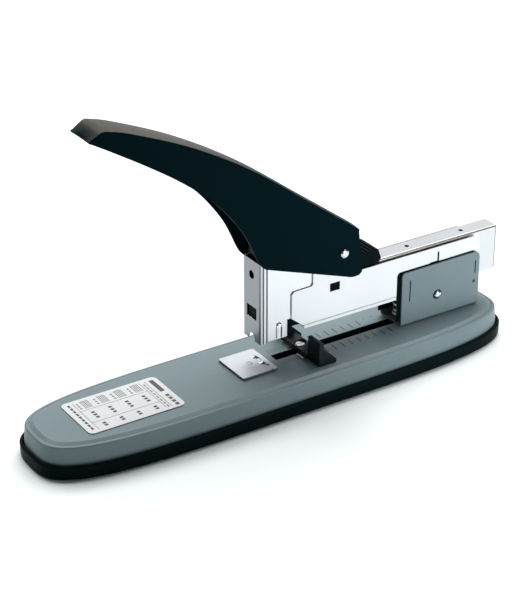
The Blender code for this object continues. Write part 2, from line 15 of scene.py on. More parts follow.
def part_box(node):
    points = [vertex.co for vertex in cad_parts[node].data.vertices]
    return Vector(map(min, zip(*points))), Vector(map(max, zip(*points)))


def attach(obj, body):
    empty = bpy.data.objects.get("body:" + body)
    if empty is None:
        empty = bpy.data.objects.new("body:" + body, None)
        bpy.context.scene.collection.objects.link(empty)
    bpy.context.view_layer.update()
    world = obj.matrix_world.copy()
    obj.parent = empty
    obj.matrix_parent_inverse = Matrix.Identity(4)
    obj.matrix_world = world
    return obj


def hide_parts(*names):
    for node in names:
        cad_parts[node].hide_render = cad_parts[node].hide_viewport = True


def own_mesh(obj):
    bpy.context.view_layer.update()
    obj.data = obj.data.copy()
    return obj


MM = 0.001
RIVET_HOLE = 1.9            # radius of the rivets' holes in the deck, the bracket and the anvil


# ---------------------------------------------------------------- outlines

def arc(centre, radius, start_deg, end_deg, steps):
    """Points on an arc, both ends included."""
    points = []
    for i in range(steps + 1):
        a = math.radians(start_deg + (end_deg - start_deg) * i / steps)
        points.append((centre[0] + radius * math.cos(a), centre[1] + radius * math.sin(a)))
    return points


def circle(centre, radius, count=32):
    """A circle as an outline."""
    return arc(centre, radius, 0, 360 * (count - 1) / count, count - 1)


def rounded(corners, steps=6):
    """A closed outline from (x, y, radius) corners, each corner with its own fillet."""
    points = []
    count = len(corners)
    for i, (x, y, radius) in enumerate(corners):
        here = Vector((x, y))
        if radius <= 0:
            points.append((x, y))
            continue
        before = (Vector(corners[i - 1][:2]) - here).normalized()
        after = (Vector(corners[(i + 1) % count][:2]) - here).normalized()
        half = before.angle(after) / 2
        reach = radius / math.tan(half)
        centre = here + (before + after).normalized() * (radius / math.sin(half))
        first = here + before * reach - centre
        last = here + after * reach - centre
        for k in range(steps + 1):
            turn = first.lerp(last, k / steps).normalized() * radius
            points.append((centre.x + turn.x, centre.y + turn.y))
    return points


def rectangle(centre, half, radius=0.0, steps=6):
    """A rectangle with equal corner radii, counter-clockwise."""
    x, y = centre
    a, b = half
    return rounded([(x - a, y - b, radius), (x + a, y - b, radius),
                    (x + a, y + b, radius), (x - a, y + b, radius)], steps)


def smooth(points, steps=6):
    """A Catmull-Rom curve through a few points, both ends included."""
    line = [Vector(p) for p in points]
    line = [line[0] * 2 - line[1]] + line + [line[-1] * 2 - line[-2]]
    result = []
    for i in range(1, len(line) - 2):
        a, b, c, d = line[i - 1:i + 3]
        for k in range(steps):
            t = k / steps
            p = 0.5 * (2 * b + (c - a) * t + (2 * a - 5 * b + 4 * c - d) * t * t
                       + (3 * b - 3 * c + d - a) * t ** 3)
            result.append((p.x, p.y))
    result.append(tuple(points[-1]))
    return result


def resample(points, count):
    """The same line with evenly spaced points."""
    line = [Vector(p) for p in points]
    lengths = [0.0]
    for a, b in zip(line, line[1:]):
        lengths.append(lengths[-1] + (b - a).length)
    result = []
    k = 0
    for i in range(count):
        target = lengths[-1] * i / (count - 1)
        while k < len(line) - 2 and lengths[k + 1] < target:
            k += 1
        share = (target - lengths[k]) / (lengths[k + 1] - lengths[k])
        result.append(line[k].lerp(line[k + 1], share))
    return result


# ---------------------------------------------------------------- solids

def on_axis(axis, u, v, w):
    """A point with outline coordinates (u, v) at height w along an axis."""
    if axis == "X":
        return Vector((w, u, v))
    if axis == "Y":
        return Vector((u, w, v))
    return Vector((u, v, w))


def prism(outline, axis, low, high, holes=()):
    """An outline with holes, extruded along X (outline in Y, Z), Y (in X, Z) or Z (in X, Y)."""
    bm = bmesh.new()
    edges = []
    for loop in [outline, *holes]:
        verts = [bm.verts.new(on_axis(axis, u, v, low)) for u, v in loop]
        edges += [bm.edges.new((verts[i - 1], verts[i])) for i in range(len(verts))]
    bmesh.ops.triangle_fill(bm, use_beauty=True, edges=edges)
    if not holes:
        bmesh.ops.dissolve_faces(bm, faces=bm.faces[:])
    swept = bmesh.ops.extrude_face_region(bm, geom=bm.faces[:])
    top = [g for g in swept["geom"] if isinstance(g, bmesh.types.BMVert)]
    bmesh.ops.translate(bm, verts=top, vec=on_axis(axis, 0, 0, high - low))
    bmesh.ops.recalc_face_normals(bm, faces=bm.faces[:])
    return bm


def loft(rings):
    """A closed solid through loops with equal point counts, each a list of 3-D points."""
    bm = bmesh.new()
    loops = [[bm.verts.new(p) for p in ring] for ring in rings]
    for lower, upper in zip(loops, loops[1:]):
        for i in range(len(lower)):
            bm.faces.new((lower[i - 1], lower[i], upper[i], upper[i - 1]))
    bm.faces.new(loops[0])
    bm.faces.new(loops[-1])
    bmesh.ops.recalc_face_normals(bm, faces=bm.faces[:])
    return bm


def turned(profile, centre, axis, segments=40):
    """A turned solid. The profile is (radius, height) pairs from one end of the axis to the other."""
    bm = bmesh.new()
    columns = []
    for i in range(segments):
        a = 2 * math.pi * i / segments
        columns.append([])
        for radius, height in profile:
            u = centre[0] + radius * math.cos(a)
            v = centre[1] + radius * math.sin(a)
            columns[-1].append(bm.verts.new(on_axis(axis, u, v, height)))
    for i in range(segments):
        here, before = columns[i], columns[i - 1]
        for k in range(len(profile) - 1):
            bm.faces.new((before[k], here[k], here[k + 1], before[k + 1]))
    bm.faces.new([column[0] for column in columns])
    bm.faces.new([column[-1] for column in columns])
    bmesh.ops.recalc_face_normals(bm, faces=bm.faces[:])
    return bm


def tube(path, radius, sides=12):
    """A round wire along a list of 3-D points, with flat ends."""
    bm = bmesh.new()
    loops = []
    side = None
    for i, point in enumerate(path):
        along = (path[min(i + 1, len(path) - 1)] - path[max(i - 1, 0)]).normalized()
        if side is None:
            side = along.orthogonal().normalized()
        side = (side - along * side.dot(along)).normalized()
        up = along.cross(side)
        ring = []
        for k in range(sides):
            b = 2 * math.pi * k / sides
            ring.append(bm.verts.new(point + (side * math.cos(b) + up * math.sin(b)) * radius))
        loops.append(ring)
    for lower, upper in zip(loops, loops[1:]):
        for k in range(sides):
            bm.faces.new((lower[k - 1], lower[k], upper[k], upper[k - 1]))
    bm.faces.new(loops[0])
    bm.faces.new(loops[-1])
    bmesh.ops.recalc_face_normals(bm, faces=bm.faces[:])
    return bm


def coil_path(low, high, axis, centre, radius, wire, turns, per_turn=32):
    """The centreline of a compression spring with closed, flat end turns."""
    closed = 1.0
    path = []
    count = int(turns * per_turn)
    for i in range(count + 1):
        turn = i / per_turn
        inner = min(max((turn - closed) / (turns - 2 * closed), 0.0), 1.0)
        ends = min(turn, closed) + max(turn - (turns - closed), 0.0)
        free = (high - low) - 2 * wire - 4 * wire * closed
        height = low + wire + 2 * wire * ends + free * inner
        a = 2 * math.pi * turn
        path.append(on_axis(axis, centre[0] + radius * math.cos(a),
                            centre[1] + radius * math.sin(a), height))
    return path


def blocks(boxes, low, high):
    """Many thin upright boxes in one mesh, each given as (centre x, centre y, size x, size y)."""
    bm = bmesh.new()
    for x, y, width, depth in boxes:
        place = Matrix.Translation((x, y, (low + high) / 2))
        size = Matrix.Diagonal((width, depth, high - low, 1.0))
        bmesh.ops.create_cube(bm, size=1.0, matrix=place @ size)
    return bm


# ---------------------------------------------------------------- objects

def raw_object(name, bm):
    """An object in metres from a mesh in millimetres."""
    bmesh.ops.transform(bm, matrix=Matrix.Scale(MM, 4), verts=bm.verts[:])
    mesh = bpy.data.meshes.new(name)
    bm.to_mesh(mesh)
    bm.free()
    made = bpy.data.objects.new(name, mesh)
    bpy.context.scene.collection.objects.link(made)
    return made


def carve(target, solids, operation="DIFFERENCE"):
    """Cuts solids from an object, joins them on, or keeps what they share, and applies the result."""
    tools = []
    for bm in solids:
        tools.append(raw_object("tool", bm))
        step = target.modifiers.new("carve", "BOOLEAN")
        step.operation = operation
        step.solver = "EXACT"
        step.object = tools[-1]
    apply_modifiers(target)
    for tool in tools:
        bpy.data.objects.remove(tool)
    return target


def apply_modifiers(target):
    """Turns an object's modifiers into its mesh."""
    bpy.context.view_layer.update()
    graph = bpy.context.evaluated_depsgraph_get()
    mesh = bpy.data.meshes.new_from_object(target.evaluated_get(graph))
    target.modifiers.clear()
    target.data = mesh


def round_edges(target, width, segments=3, angle=35):
    """Rounds an object's sharp edges."""
    step = target.modifiers.new("round edges", "BEVEL")
    step.width = width * MM
    step.segments = segments
    step.limit_method = "ANGLE"
    step.angle_limit = math.radians(angle)
    step.use_clamp_overlap = True
    step.miter_outer = "MITER_ARC"


def second_finish(target, material, chosen):
    """Gives another material to the faces whose centre, in millimetres, and normal pass a test."""
    target.data.materials.append(material)
    for face in target.data.polygons:
        if chosen(face.center / MM, face.normal):
            face.material_index = 1


def even_shading(target):
    """Keeps flat faces flat in the shading beside their rounded edges."""
    step = target.modifiers.new("even shading", "WEIGHTED_NORMAL")
    step.keep_sharp = True


def dress(target, name, material, body, nodes=(), soft=0.0, angle=35):
    """Names a finished piece, gives it its material, and lets it ride on its body."""
    target.name = name
    target.data.name = name
    target.data.materials.clear()
    target.data.materials.append(material)
    if soft:
        round_edges(target, soft, angle=angle)
        apply_modifiers(target)
    target.data.shade_smooth()
    target.data.set_sharp_from_angle(angle=math.radians(angle))
    if soft:
        even_shading(target)
    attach(target, body)
    if nodes:
        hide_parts(*nodes)
    return target


def size_of(node):
    """The lowest and highest corner of a CAD node, in millimetres."""
    low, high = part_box(node)
    return low / MM, high / MM


# ---------------------------------------------------------------- materials

class Nodes:
    """Short names for building a material's nodes."""

    def __init__(self, name):
        self.material = bpy.data.materials.new(name)
        self.material.use_nodes = True
        self.tree = self.material.node_tree
        self.shader = self.tree.nodes["Principled BSDF"]
        self.place = self.add("ShaderNodeTexCoord").outputs["Object"]

    def add(self, kind, **values):
        node = self.tree.nodes.new(kind)
        for key, value in values.items():
            setattr(node, key, value)
        return node

    def link(self, source, target):
        self.tree.links.new(source, target)

    def noise(self, scale, detail=3.0, roughness=0.5, stretch=None):
        """Noise whose features are about 1 / scale metres wide."""
        node = self.add("ShaderNodeTexNoise")
        node.inputs["Scale"].default_value = scale
        node.inputs["Detail"].default_value = detail
        node.inputs["Roughness"].default_value = roughness
        source = self.place
        if stretch:
            mapping = self.add("ShaderNodeMapping")
            mapping.inputs["Scale"].default_value = stretch
            self.link(self.place, mapping.inputs["Vector"])
            source = mapping.outputs["Vector"]
        self.link(source, node.inputs["Vector"])
        return node.outputs["Fac"]

    def between(self, factor, low, high):
        """A value that goes from low to high with a factor around one half."""
        node = self.add("ShaderNodeMapRange")
        node.inputs["From Min"].default_value = 0.3
        node.inputs["From Max"].default_value = 0.7
        node.inputs["To Min"].default_value = low
        node.inputs["To Max"].default_value = high
        self.link(factor, node.inputs["Value"])
        return node.outputs["Result"]

    def facing(self, axis, low, high, both_ways=True):
        """0 to 1 as the surface turns to face along an axis, or against it too."""
        split = self.add("ShaderNodeSeparateXYZ")
        self.link(self.add("ShaderNodeTexCoord").outputs["Normal"], split.inputs["Vector"])
        size = self.add("ShaderNodeMath", operation="ABSOLUTE" if both_ways else "MAXIMUM")
        size.inputs[1].default_value = 0.0
        self.link(split.outputs[axis], size.inputs[0])
        node = self.add("ShaderNodeMapRange")
        node.inputs["From Min"].default_value = low
        node.inputs["From Max"].default_value = high
        self.link(size.outputs["Value"], node.inputs["Value"])
        return node.outputs["Result"]

    def blend(self, factor, first, second):
        """A colour between two colours."""
        node = self.add("ShaderNodeMix", data_type="RGBA")
        self.link(factor, node.inputs["Factor"])
        for socket, value in ((node.inputs[6], first), (node.inputs[7], second)):
            if isinstance(value, tuple):
                socket.default_value = (*value, 1.0)
            else:
                self.link(value, socket)
        return node.outputs[2]

    def bump(self, height, strength, distance, before=None):
        """Raises the surface by a height pattern. The distance is in metres."""
        node = self.add("ShaderNodeBump")
        node.inputs["Strength"].default_value = strength
        node.inputs["Distance"].default_value = distance
        self.link(height, node.inputs["Height"])
        if before:
            self.link(before, node.inputs["Normal"])
        return node.outputs["Normal"]


def shade(colour, factor):
    """A colour made lighter or darker."""
    return tuple(c * factor for c in colour)


def enamel(name, colour, roughness, orange_peel, ior, painted_sheen=None):
    """Stove enamel: faint orange peel, slightly uneven gloss and colour, and a painted sheen, a lighter
    bloom on faces that look up, where its colour is given."""
    n = Nodes(name)
    broad = n.noise(18.0, 4.0)
    mottle = n.noise(160.0, 3.0, 0.6)
    tone = n.blend(n.between(broad, 0.0, 1.0), shade(colour, 0.96), shade(colour, 1.03))
    tone = n.blend(n.between(mottle, 0.0, 0.35), tone, shade(colour, 0.94))
    # painted sheen: faces that look up take a lighter tone in place of their reflection
    if painted_sheen:
        bloom = n.blend(n.between(mottle, 0.0, 1.0), shade(painted_sheen, 0.92), shade(painted_sheen, 1.06))
        tone = n.blend(n.facing("Z", 0.8, 0.9, False), tone, bloom)
    n.link(tone, n.shader.inputs["Base Color"])
    n.link(n.between(mottle, roughness - 0.04, roughness + 0.05), n.shader.inputs["Roughness"])
    peel = n.bump(n.noise(900.0, 1.0), orange_peel, 0.00004)
    speck = n.bump(n.noise(4200.0, 2.0, 0.7), orange_peel * 0.6, 0.000012, peel)
    n.link(speck, n.shader.inputs["Normal"])
    n.shader.inputs["IOR"].default_value = ior
    return n.material


def moulded_plastic(name, colour, roughness, ior):
    """Black moulded plastic with a fine spark-eroded grain."""
    n = Nodes(name)
    grain = n.noise(2600.0, 3.0, 0.65)
    broad = n.noise(30.0, 3.0)
    tone = n.blend(n.between(broad, 0.0, 1.0), shade(colour, 0.8), shade(colour, 1.25))
    n.link(tone, n.shader.inputs["Base Color"])
    n.link(n.between(grain, roughness - 0.07, roughness + 0.07), n.shader.inputs["Roughness"])
    n.link(n.bump(grain, 0.5, 0.00003), n.shader.inputs["Normal"])
    n.shader.inputs["IOR"].default_value = ior
    return n.material


def plated_metal(name, colour, roughness, grain_axis, painted_shade_facing=None, edges=None):
    """Plated sheet: long faint rolling lines and a slight haze. Faces turned to an axis take another
    tone as painted shade, given as (axis, colour), and cut edges that look up a matt one."""
    haze = 0.04
    n = Nodes(name)
    stretch = [420.0, 420.0, 420.0]
    stretch["XYZ".index(grain_axis)] = 9.0
    lines = n.noise(4.0, 4.0, 0.6, tuple(stretch))
    clouds = n.noise(26.0, 4.0, 0.55)
    tone = n.blend(n.between(clouds, 0.0, 1.0), shade(colour, 0.96), shade(colour, 1.02))
    # painted shade: faces turned to the given axis take a darker tone
    if painted_shade_facing:
        tone = n.blend(n.facing(painted_shade_facing[0], 0.5, 0.85), tone, painted_shade_facing[1])
    n.shader.inputs["Metallic"].default_value = 1.0
    if edges:
        sheet = n.facing("Z", 0.85, 0.5)
        tone = n.blend(sheet, edges, tone)
        n.link(sheet, n.shader.inputs["Metallic"])
    n.link(tone, n.shader.inputs["Base Color"])
    n.link(n.between(lines, roughness - haze, roughness + haze), n.shader.inputs["Roughness"])
    n.link(n.bump(lines, 0.06, 0.00003), n.shader.inputs["Normal"])
    return n.material


def rubber_finish(name, colour):
    """Matt rubber with a slight bloom."""
    n = Nodes(name)
    bloom = n.noise(220.0, 4.0, 0.6)
    tone = n.blend(n.between(bloom, 0.0, 1.0), shade(colour, 0.8), shade(colour, 1.6))
    n.link(tone, n.shader.inputs["Base Color"])
    n.link(n.between(bloom, 0.75, 0.9), n.shader.inputs["Roughness"])
    n.link(n.bump(n.noise(1500.0), 0.4, 0.00005), n.shader.inputs["Normal"])
    return n.material


def printed_film(name, colour, roughness):
    """Thin film with a faint fibre and an even satin sheen."""
    n = Nodes(name)
    fibre = n.noise(700.0, 4.0, 0.6)
    tone = n.blend(n.between(fibre, 0.0, 1.0), shade(colour, 0.97), shade(colour, 1.02))
    n.link(tone, n.shader.inputs["Base Color"])
    n.link(n.between(fibre, roughness - 0.04, roughness + 0.04), n.shader.inputs["Roughness"])
    n.link(n.bump(fibre, 0.15, 0.00001), n.shader.inputs["Normal"])
    return n.material


def make_materials():
    """Every finish, by the name of its slot in the record, with a few extra ones."""
    chrome = (0.675, 0.695, 0.72)
    # painted shade on the rail's sides
    painted_rail_side_shade = (0.575, 0.59, 0.605)
    # satin finish tone; on the head cover's front faces it is painted shade
    satin = (0.24, 0.255, 0.27)
    # bare cut-edge colour, also the painted shade along the rail's folds and rear hems
    cut = (0.36, 0.34, 0.31)
    grey = (0.132, 0.184, 0.20)
    # the painted sheen on the handle's roof
    painted_roof_sheen = (0.084, 0.079, 0.072)
    return {
        "grey_paint": enamel("grey enamel", grey, 0.42, 0.25, 1.4),
        "black_paint": enamel("black enamel", (0.0, 0.0078, 0.0112), 0.45, 0.2, 1.07, painted_roof_sheen),
        "black_plastic": moulded_plastic("black plastic", (0.0, 0.0042, 0.0048), 0.42, 1.1),
        "glossy_plastic": moulded_plastic("satin black plastic", (0.0, 0.0055, 0.0075), 0.4, 1.25),
        "rubber": rubber_finish("rubber", (0.02, 0.02, 0.021)),
        "nickel_plate": plated_metal("nickel plate", chrome, 0.2, "X"),
        "side_sheet": plated_metal("nickel side sheet", shade(chrome, 0.95), 0.2, "X", edges=cut),
        "upright_plate": plated_metal("nickel plate, upright grain", chrome, 0.22, "Z"),
        # the front faces of the head cover take the satin tone as painted shade
        "front_sheet": plated_metal("nickel front sheet", chrome, 0.24, "Z", painted_shade_facing=("X", satin)),
        "anvil_plate": plated_metal("satin nickel", shade(satin, 1.9), 0.4, "Y"),
        "steel": plated_metal("zinc plated steel", (0.62, 0.62, 0.61), 0.2, "Z"),
        "spring_wire": plated_metal("spring wire", (0.95, 0.95, 0.95), 0.4, "X"),
        "label_paper": printed_film("label film", (0.57, 0.58, 0.59), 0.45),
        "ink": printed_film("ink", (0.03, 0.031, 0.033), 0.5),
        "pale_ink": printed_film("pale ink", (0.2, 0.2, 0.21), 0.5),
        "fine_ink": printed_film("fine deck marks", (0.05, 0.072, 0.08), 0.55),
        "ink_and_groove_shade": printed_film("deck marks", (0.018, 0.032, 0.036), 0.55),
        # the rail's sides take a darker tone as painted shade
        "rail_sheet": plated_metal("nickel rail", chrome, 0.2, "X", painted_shade_facing=("Y", painted_rail_side_shade)),
        "dull_sheet": plated_metal("dull nickel", shade(chrome, 1.1), 0.6, "X"),
        "dark_steel": plated_metal("blackened steel", (0.015, 0.017, 0.018), 0.4, "Z"),
        "painted_fold_shade": plated_metal("shaded fold", cut, 0.3, "X"),
        # painted shade, for pockets, grooves, the anvil's near and left edges and its rivet's ring
        "recess": plated_metal("shaded recess", (0.16, 0.165, 0.165), 0.4, "Z"),
    }


# ---------------------------------------------------------------- base

def base_outline(inset, points=240):
    """The base's oval seen from above, moved in by inset."""
    half_length, half_width = size_of("base_tray")[1].xy
    end_power, side_power = 4.5, 3.3
    result = []
    for i in range(points):
        a = 2 * math.pi * (i + 0.5) / points
        c, s = math.cos(a), math.sin(a)
        x = math.copysign(abs(c) ** (2 / end_power), c) * (half_length - inset)
        y = math.copysign(abs(s) ** (2 / side_power), s) * (half_width - inset)
        result.append((x, y))
    return result


def ring_at(inset, z):
    """One loop of the base's oval at a height."""
    return [Vector((x, y, z)) for x, y in base_outline(inset)]


def profile_line(corners, steps=5):
    """An open profile of (inset, z, radius) corners with its corners rounded."""
    closed = rounded(corners + [(60.0, corners[-1][1], 0.0), (60.0, corners[0][1], 0.0)], steps)
    return closed[:-2]


def base_tray(looks):
    """The black tray with a rounded lip that stands round the deck."""
    low, high = size_of("base_tray")
    wall = 1.7
    outer = profile_line([(2.2, low.z, 0.0), (0.25, low.z, 1.0), (0.0, high.z, 0.75),
                          (wall, high.z, 0.55), (wall, 3.3, 0.5), (6.0, 3.3, 0.0)])
    tray = raw_object("base_tray_shaped", loft([ring_at(inset, z) for inset, z in outer]))
    pockets = []
    for i in range(4):
        foot_low, foot_high = size_of(f"rubber_foot_{i + 1}")
        centre = ((foot_low.x + foot_high.x) / 2, (foot_low.y + foot_high.y) / 2)
        radius = (foot_high.x - foot_low.x) / 2 + 0.3
        pockets.append(turned([(radius, -1.0), (radius, 2.4)], centre, "Z"))
    carve(tray, pockets)
    dress(tray, "tray_with_lip", looks["black_plastic"], "base", ["base_tray"])


def base_shell(looks):
    """The grey pressed deck: a beaded shoulder, the guide's slot with turned-down lips, and holes."""
    low, high = size_of("base_shell")
    top = high.z
    sheet = 1.2
    outer = profile_line([(2.2, low.z, 0.0), (2.25, 9.0, 4.0), (2.95, 17.75, 0.9), (4.2, 17.65, 0.6),
                          (4.9, 17.2, 0.5), (6.3, 18.0, 0.8), (7.2, top, 0.8), (9.0, top, 0.0)])
    inner = [(2.2 + sheet, low.z), (2.3 + sheet, 9.0), (2.9 + sheet, 15.8), (3.8 + sheet, 16.3),
             (5.4 + sheet, 16.8), (7.3 + sheet, top - sheet)]
    rings = [ring_at(inset, z) for inset, z in reversed(inner)]
    rings += [ring_at(inset, z) for inset, z in outer]
    shell = raw_object("base_shell_shaped", loft(rings))
    slot_middle, slot_half, lip = (39.9, 0.0), (40.1, 2.9), 0.7
    rim = rectangle(slot_middle, (slot_half[0] + lip, slot_half[1] + lip), 1.0)
    carve(shell, [prism(rim, "Z", 15.5, top - 0.5)], "UNION")
    cuts = [prism(rectangle(slot_middle, slot_half, 0.6), "Z", 12.0, 24.0)]
    for node in ("anvil_rivet", "bracket_rivet_1", "bracket_rivet_2", "bracket_rivet_3",
                 "bracket_rivet_4"):
        rivet_low, rivet_high = size_of(node)
        centre = ((rivet_low.x + rivet_high.x) / 2, (rivet_low.y + rivet_high.y) / 2)
        cuts.append(prism(circle(centre, RIVET_HOLE), "Z", 12.0, 24.0))
    carve(shell, cuts)
    dress(shell, "deck_shell", looks["grey_paint"], "base", ["base_shell"],
          soft=0.3, angle=40)
    # painted shade: the slot's inner walls take the black plastic finish
    second_finish(shell, looks["black_plastic"],
                  lambda p, n: (abs(p.y) < slot_half[1] + 0.05 and p.z < top - 0.5 and p.z > 15.0
                                and abs(p.x - slot_middle[0]) < slot_half[0] + 0.05))


def deck_marks(looks):
    """The depth marks on both sides of the slot: every 5.3 mm, with finer ones at its front."""
    top = size_of("base_shell")[1].z
    first, pitch = 33.8, 5.3
    boxes = []
    for k in range(-1, 8):
        x = first + pitch * k
        boxes.append((x, -7.55, 0.7, 5.3))
        if k < 6:
            boxes.append((x, 7.55, 0.7, 5.3))
        else:
            boxes.append((x, 10.0, 0.6, 0.8))
    fine = []
    for k in range(9):
        for y in (-6.6, 6.6):
            fine.append((0.6 + 1.4 * k, y, 0.4, 4.5))
    marks = raw_object("marks", blocks(boxes, top - 0.02, top + 0.04))
    dress(marks, "deck_marks", looks["ink_and_groove_shade"], "base")
    faint = raw_object("faint", blocks(fine, top - 0.02, top + 0.03))
    dress(faint, "deck_fine_marks", looks["fine_ink"], "base")


def label(looks):
    """The film label and its neutral print: ruled lines, staple icons and bars in place of words."""
    low, high = size_of("label")
    centre = ((low.x + high.x) / 2, (low.y + high.y) / 2)
    half = ((high.x - low.x) / 2, (high.y - low.y) / 2)
    film = raw_object("film", prism(rectangle(centre, half, 3.0, 10), "Z", low.z, high.z))
    dress(film, "label_film", looks["label_paper"], "base", ["label"], soft=0.06)

    def box(u, v, width, depth):
        return (low.x + u, high.y - v, width, depth)

    lines = [box(24.9, 11.5, 39.5, 0.28), box(25.4, 24.0, 38.5, 0.28)]
    lines += [box(u, 16.7, 0.25, 28.5) for u in (6.0, 44.6, 47.6)]
    bars = [box(3.4, 4.0 + 3.1 * k, 1.3, 2.3) for k in range(9)]
    bars += [box(51.2, 9.4, 2.6, 13.0)]
    bars += [box(51.2, 20.6 + 3.3 * k, 2.0, 2.3) for k in range(4)]
    icons = []
    for k in range(4):
        u = 11.8 + 9.7 * k
        bars += [box(u - 0.6, 17.7 + dv, 1.9, 1.7) for dv in (-2.6, 0.0, 2.6)]
        bars += [box(u - 0.6, 28.2 + dv, 1.9, 1.6) for dv in (-1.1, 1.1)]
        icons += [box(u - 1.7 + 0.95 * j, 6.3, 0.55, 7.4) for j in range(5)]
        icons += [box(u, 2.9, 4.5, 0.5)]
        icons += [box(u - 4.0, 4.5 + 2.2 * j, 1.2, 1.5) for j in range(3)]
    header = [box(46.1, 6.0 + 3.4 * k, 1.0, 2.5) for k in range(8)]
    ink = raw_object("ink", blocks(lines + bars, high.z - 0.01, high.z + 0.02))
    dress(ink, "label_ink", looks["ink"], "base")
    pale = raw_object("pale", blocks(icons + header, high.z - 0.01, high.z + 0.02))
    dress(pale, "label_pale_ink", looks["pale_ink"], "base")


def anvil(looks):
    """The clinching plate with two pairs of curved pockets, and its flush rivet."""
    low, high = size_of("anvil_plate")
    centre = ((low.x + high.x) / 2, (low.y + high.y) / 2)
    half = ((high.x - low.x) / 2, (high.y - low.y) / 2)
    rivet_low, rivet_high = size_of("anvil_rivet")
    place = ((rivet_low.x + rivet_high.x) / 2, (rivet_low.y + rivet_high.y) / 2)
    plate = raw_object("plate", prism(rectangle(centre, half, 1.1, 8), "Z", low.z, high.z,
                                      [circle(place, RIVET_HOLE)]))
    top = high.z
    pockets = []
    for middle in (2.3, -5.2):
        deep = [(middle + 3.0, top + 0.2), (middle + 2.6, top - 0.85), (middle + 0.6, top - 0.75),
                (middle + 0.1, top + 0.2)]
        shallow = [(middle + 0.6, top + 0.2), (middle - 0.2, top - 0.45), (middle - 2.0, top - 0.5),
                   (middle - 2.8, top + 0.2)]
        pockets.append(prism(deep, "X", -11.0, -8.0))
        pockets.append(prism(shallow, "X", -10.0, -7.7))
    pockets.append(prism(rectangle((-9.0, low.y), (0.7, 0.9), 0.5), "Z", low.z - 1, top + 1))
    carve(plate, pockets)
    dress(plate, "anvil_plate_shaped", looks["anvil_plate"], "base", ["anvil_plate"],
          soft=0.12)
    # painted shade: the pockets' deep faces and the plate's near and left edges take a dark tone
    second_finish(plate, looks["recess"],
                  lambda p, n: (p.z < top - 0.55 and -11.5 < p.x < -7.5 and abs(p.y) < 11
                                or abs(n.z) < 0.3 and (p.x < low.x + 0.3 or p.y < low.y + 0.3)))
    profile = [(2.6, rivet_low.z), (2.6, rivet_low.z + 1.2), (1.5, rivet_low.z + 1.2),
               (1.5, top - 0.6), (1.8, top - 0.6), (1.8, top + 0.05), (1.65, top + 0.15),
               (1.2, top + 0.12), (1.0, top - 0.1)]
    rivet = raw_object("rivet", turned(profile, place, "Z"))
    dress(rivet, "anvil_rivet_shaped", looks["anvil_plate"], "base", ["anvil_rivet"])
    # painted shade: a dark ring round the rivet's head
    second_finish(rivet, looks["recess"], lambda p, n: p.z > top - 0.7 and abs(n.z) < 0.75)


def rear_bracket(looks):
    """The folded bracket: rounded bends, two pressed lines on each cheek, a dimple and holes."""
    low, high = size_of("rear_bracket")
    sheet = 1.1
    outer, inner = high.y, high.y - sheet
    floor = low.z + sheet
    section = rounded([(-outer, high.z + 4, 0), (-outer, low.z, 1.7), (outer, low.z, 1.7),
                       (outer, high.z + 4, 0), (inner, high.z + 4, 0), (inner, floor, 0.7),
                       (-inner, floor, 0.7), (-inner, high.z + 4, 0)])
    bracket = raw_object("bracket", prism(section, "X", low.x - 2, high.x + 2))
    pin_low, pin_high = size_of("main_pivot_pin")
    pin = ((pin_low.x + pin_high.x) / 2, (pin_low.z + pin_high.z) / 2)
    cheek = rounded([(low.x, low.z - 1, 0), (high.x, low.z - 1, 0), (high.x - 0.4, high.z, 3.6),
                     (low.x, high.z - 0.4, 1.8)], 10)
    carve(bracket, [prism(cheek, "Y", -outer - 1, outer + 1, [circle(pin, 2.9)])], "INTERSECT")
    grooves = []
    depth = 0.5
    for side in (-1, 1):
        near = side * (outer - depth)
        far = side * (outer + 1.0)
        span = (min(near, far), max(near, far))
        for x, z_low, z_high in ((82.2, 33.0, 46.0), (127.2, 38.3, 46.2)):
            line = rectangle((x, (z_low + z_high) / 2), (0.4, (z_high - z_low) / 2), 0.3)
            grooves.append(prism(line, "Y", *span))
        grooves.append(prism(circle((126.6, 33.6), 0.95), "Y", *span))
    for i in range(4):
        rivet_low, rivet_high = size_of(f"bracket_rivet_{i + 1}")
        place = ((rivet_low.x + rivet_high.x) / 2, (rivet_low.y + rivet_high.y) / 2)
        grooves.append(prism(circle(place, RIVET_HOLE), "Z", 14.0, 24.0))
    carve(bracket, grooves)
    dress(bracket, "bracket_folded", looks["grey_paint"], "base", ["rear_bracket"],
          soft=0.16)
    # painted shade: the pressed lines and the dimple take the deck marks' dark ink
    second_finish(bracket, looks["ink_and_groove_shade"],
                  lambda p, n: outer - depth - 0.05 < abs(p.y) < outer - 0.12 and p.z > 30)


def cheek_black_sheets(looks):
    """Thin black sheets just inside each cheek, which show as a dark strip at the bracket's front and
    top and as a dark ring round the pin.
    """
    low, high = size_of("rear_bracket")
    sheet = 1.1
    inner = high.y - sheet
    foot = low.z + sheet + 2.0
    reach = 2.5
    pin_low, pin_high = size_of("main_pivot_pin")
    pin = ((pin_low.x + pin_high.x) / 2, (pin_low.z + pin_high.z) / 2)
    black_sheet = rounded([(low.x - reach, foot, 0), (high.x - 1.0, foot, 0),
                     (high.x - 1.0, high.z + 0.4, 3.6), (low.x - reach, high.z + 0.3, 2.4)], 8)
    for name, side in (("near", -1), ("far", 1)):
        span = sorted((side * (inner - 0.05), side * (inner - 0.25)))
        made = raw_object(f"liner_{name}", prism(black_sheet, "Y", *span, [circle(pin, 2.15)]))
        dress(made, f"cheek_black_sheet_{name}", looks["black_plastic"], "base")


def headed_pin(node, name, head, shank, material, body):
    """A pin along Y with a domed head at each end."""
    low, high = size_of(node)
    place = ((low.x + high.x) / 2, (low.z + high.z) / 2)
    end = high.y
    dome = [(head * math.sin(a), end - 1.15 + 1.15 * math.cos(a))
            for a in (math.radians(d) for d in range(10, 91, 10))]
    profile = [(r, -y) for r, y in dome] + [(head, -end + 1.4), (shank, -end + 1.4)]
    profile += [(r, -y) for r, y in reversed(profile)]
    pin = raw_object(name, turned(profile, place, "Y", 48))
    dress(pin, name, material, body, [node], angle=40)


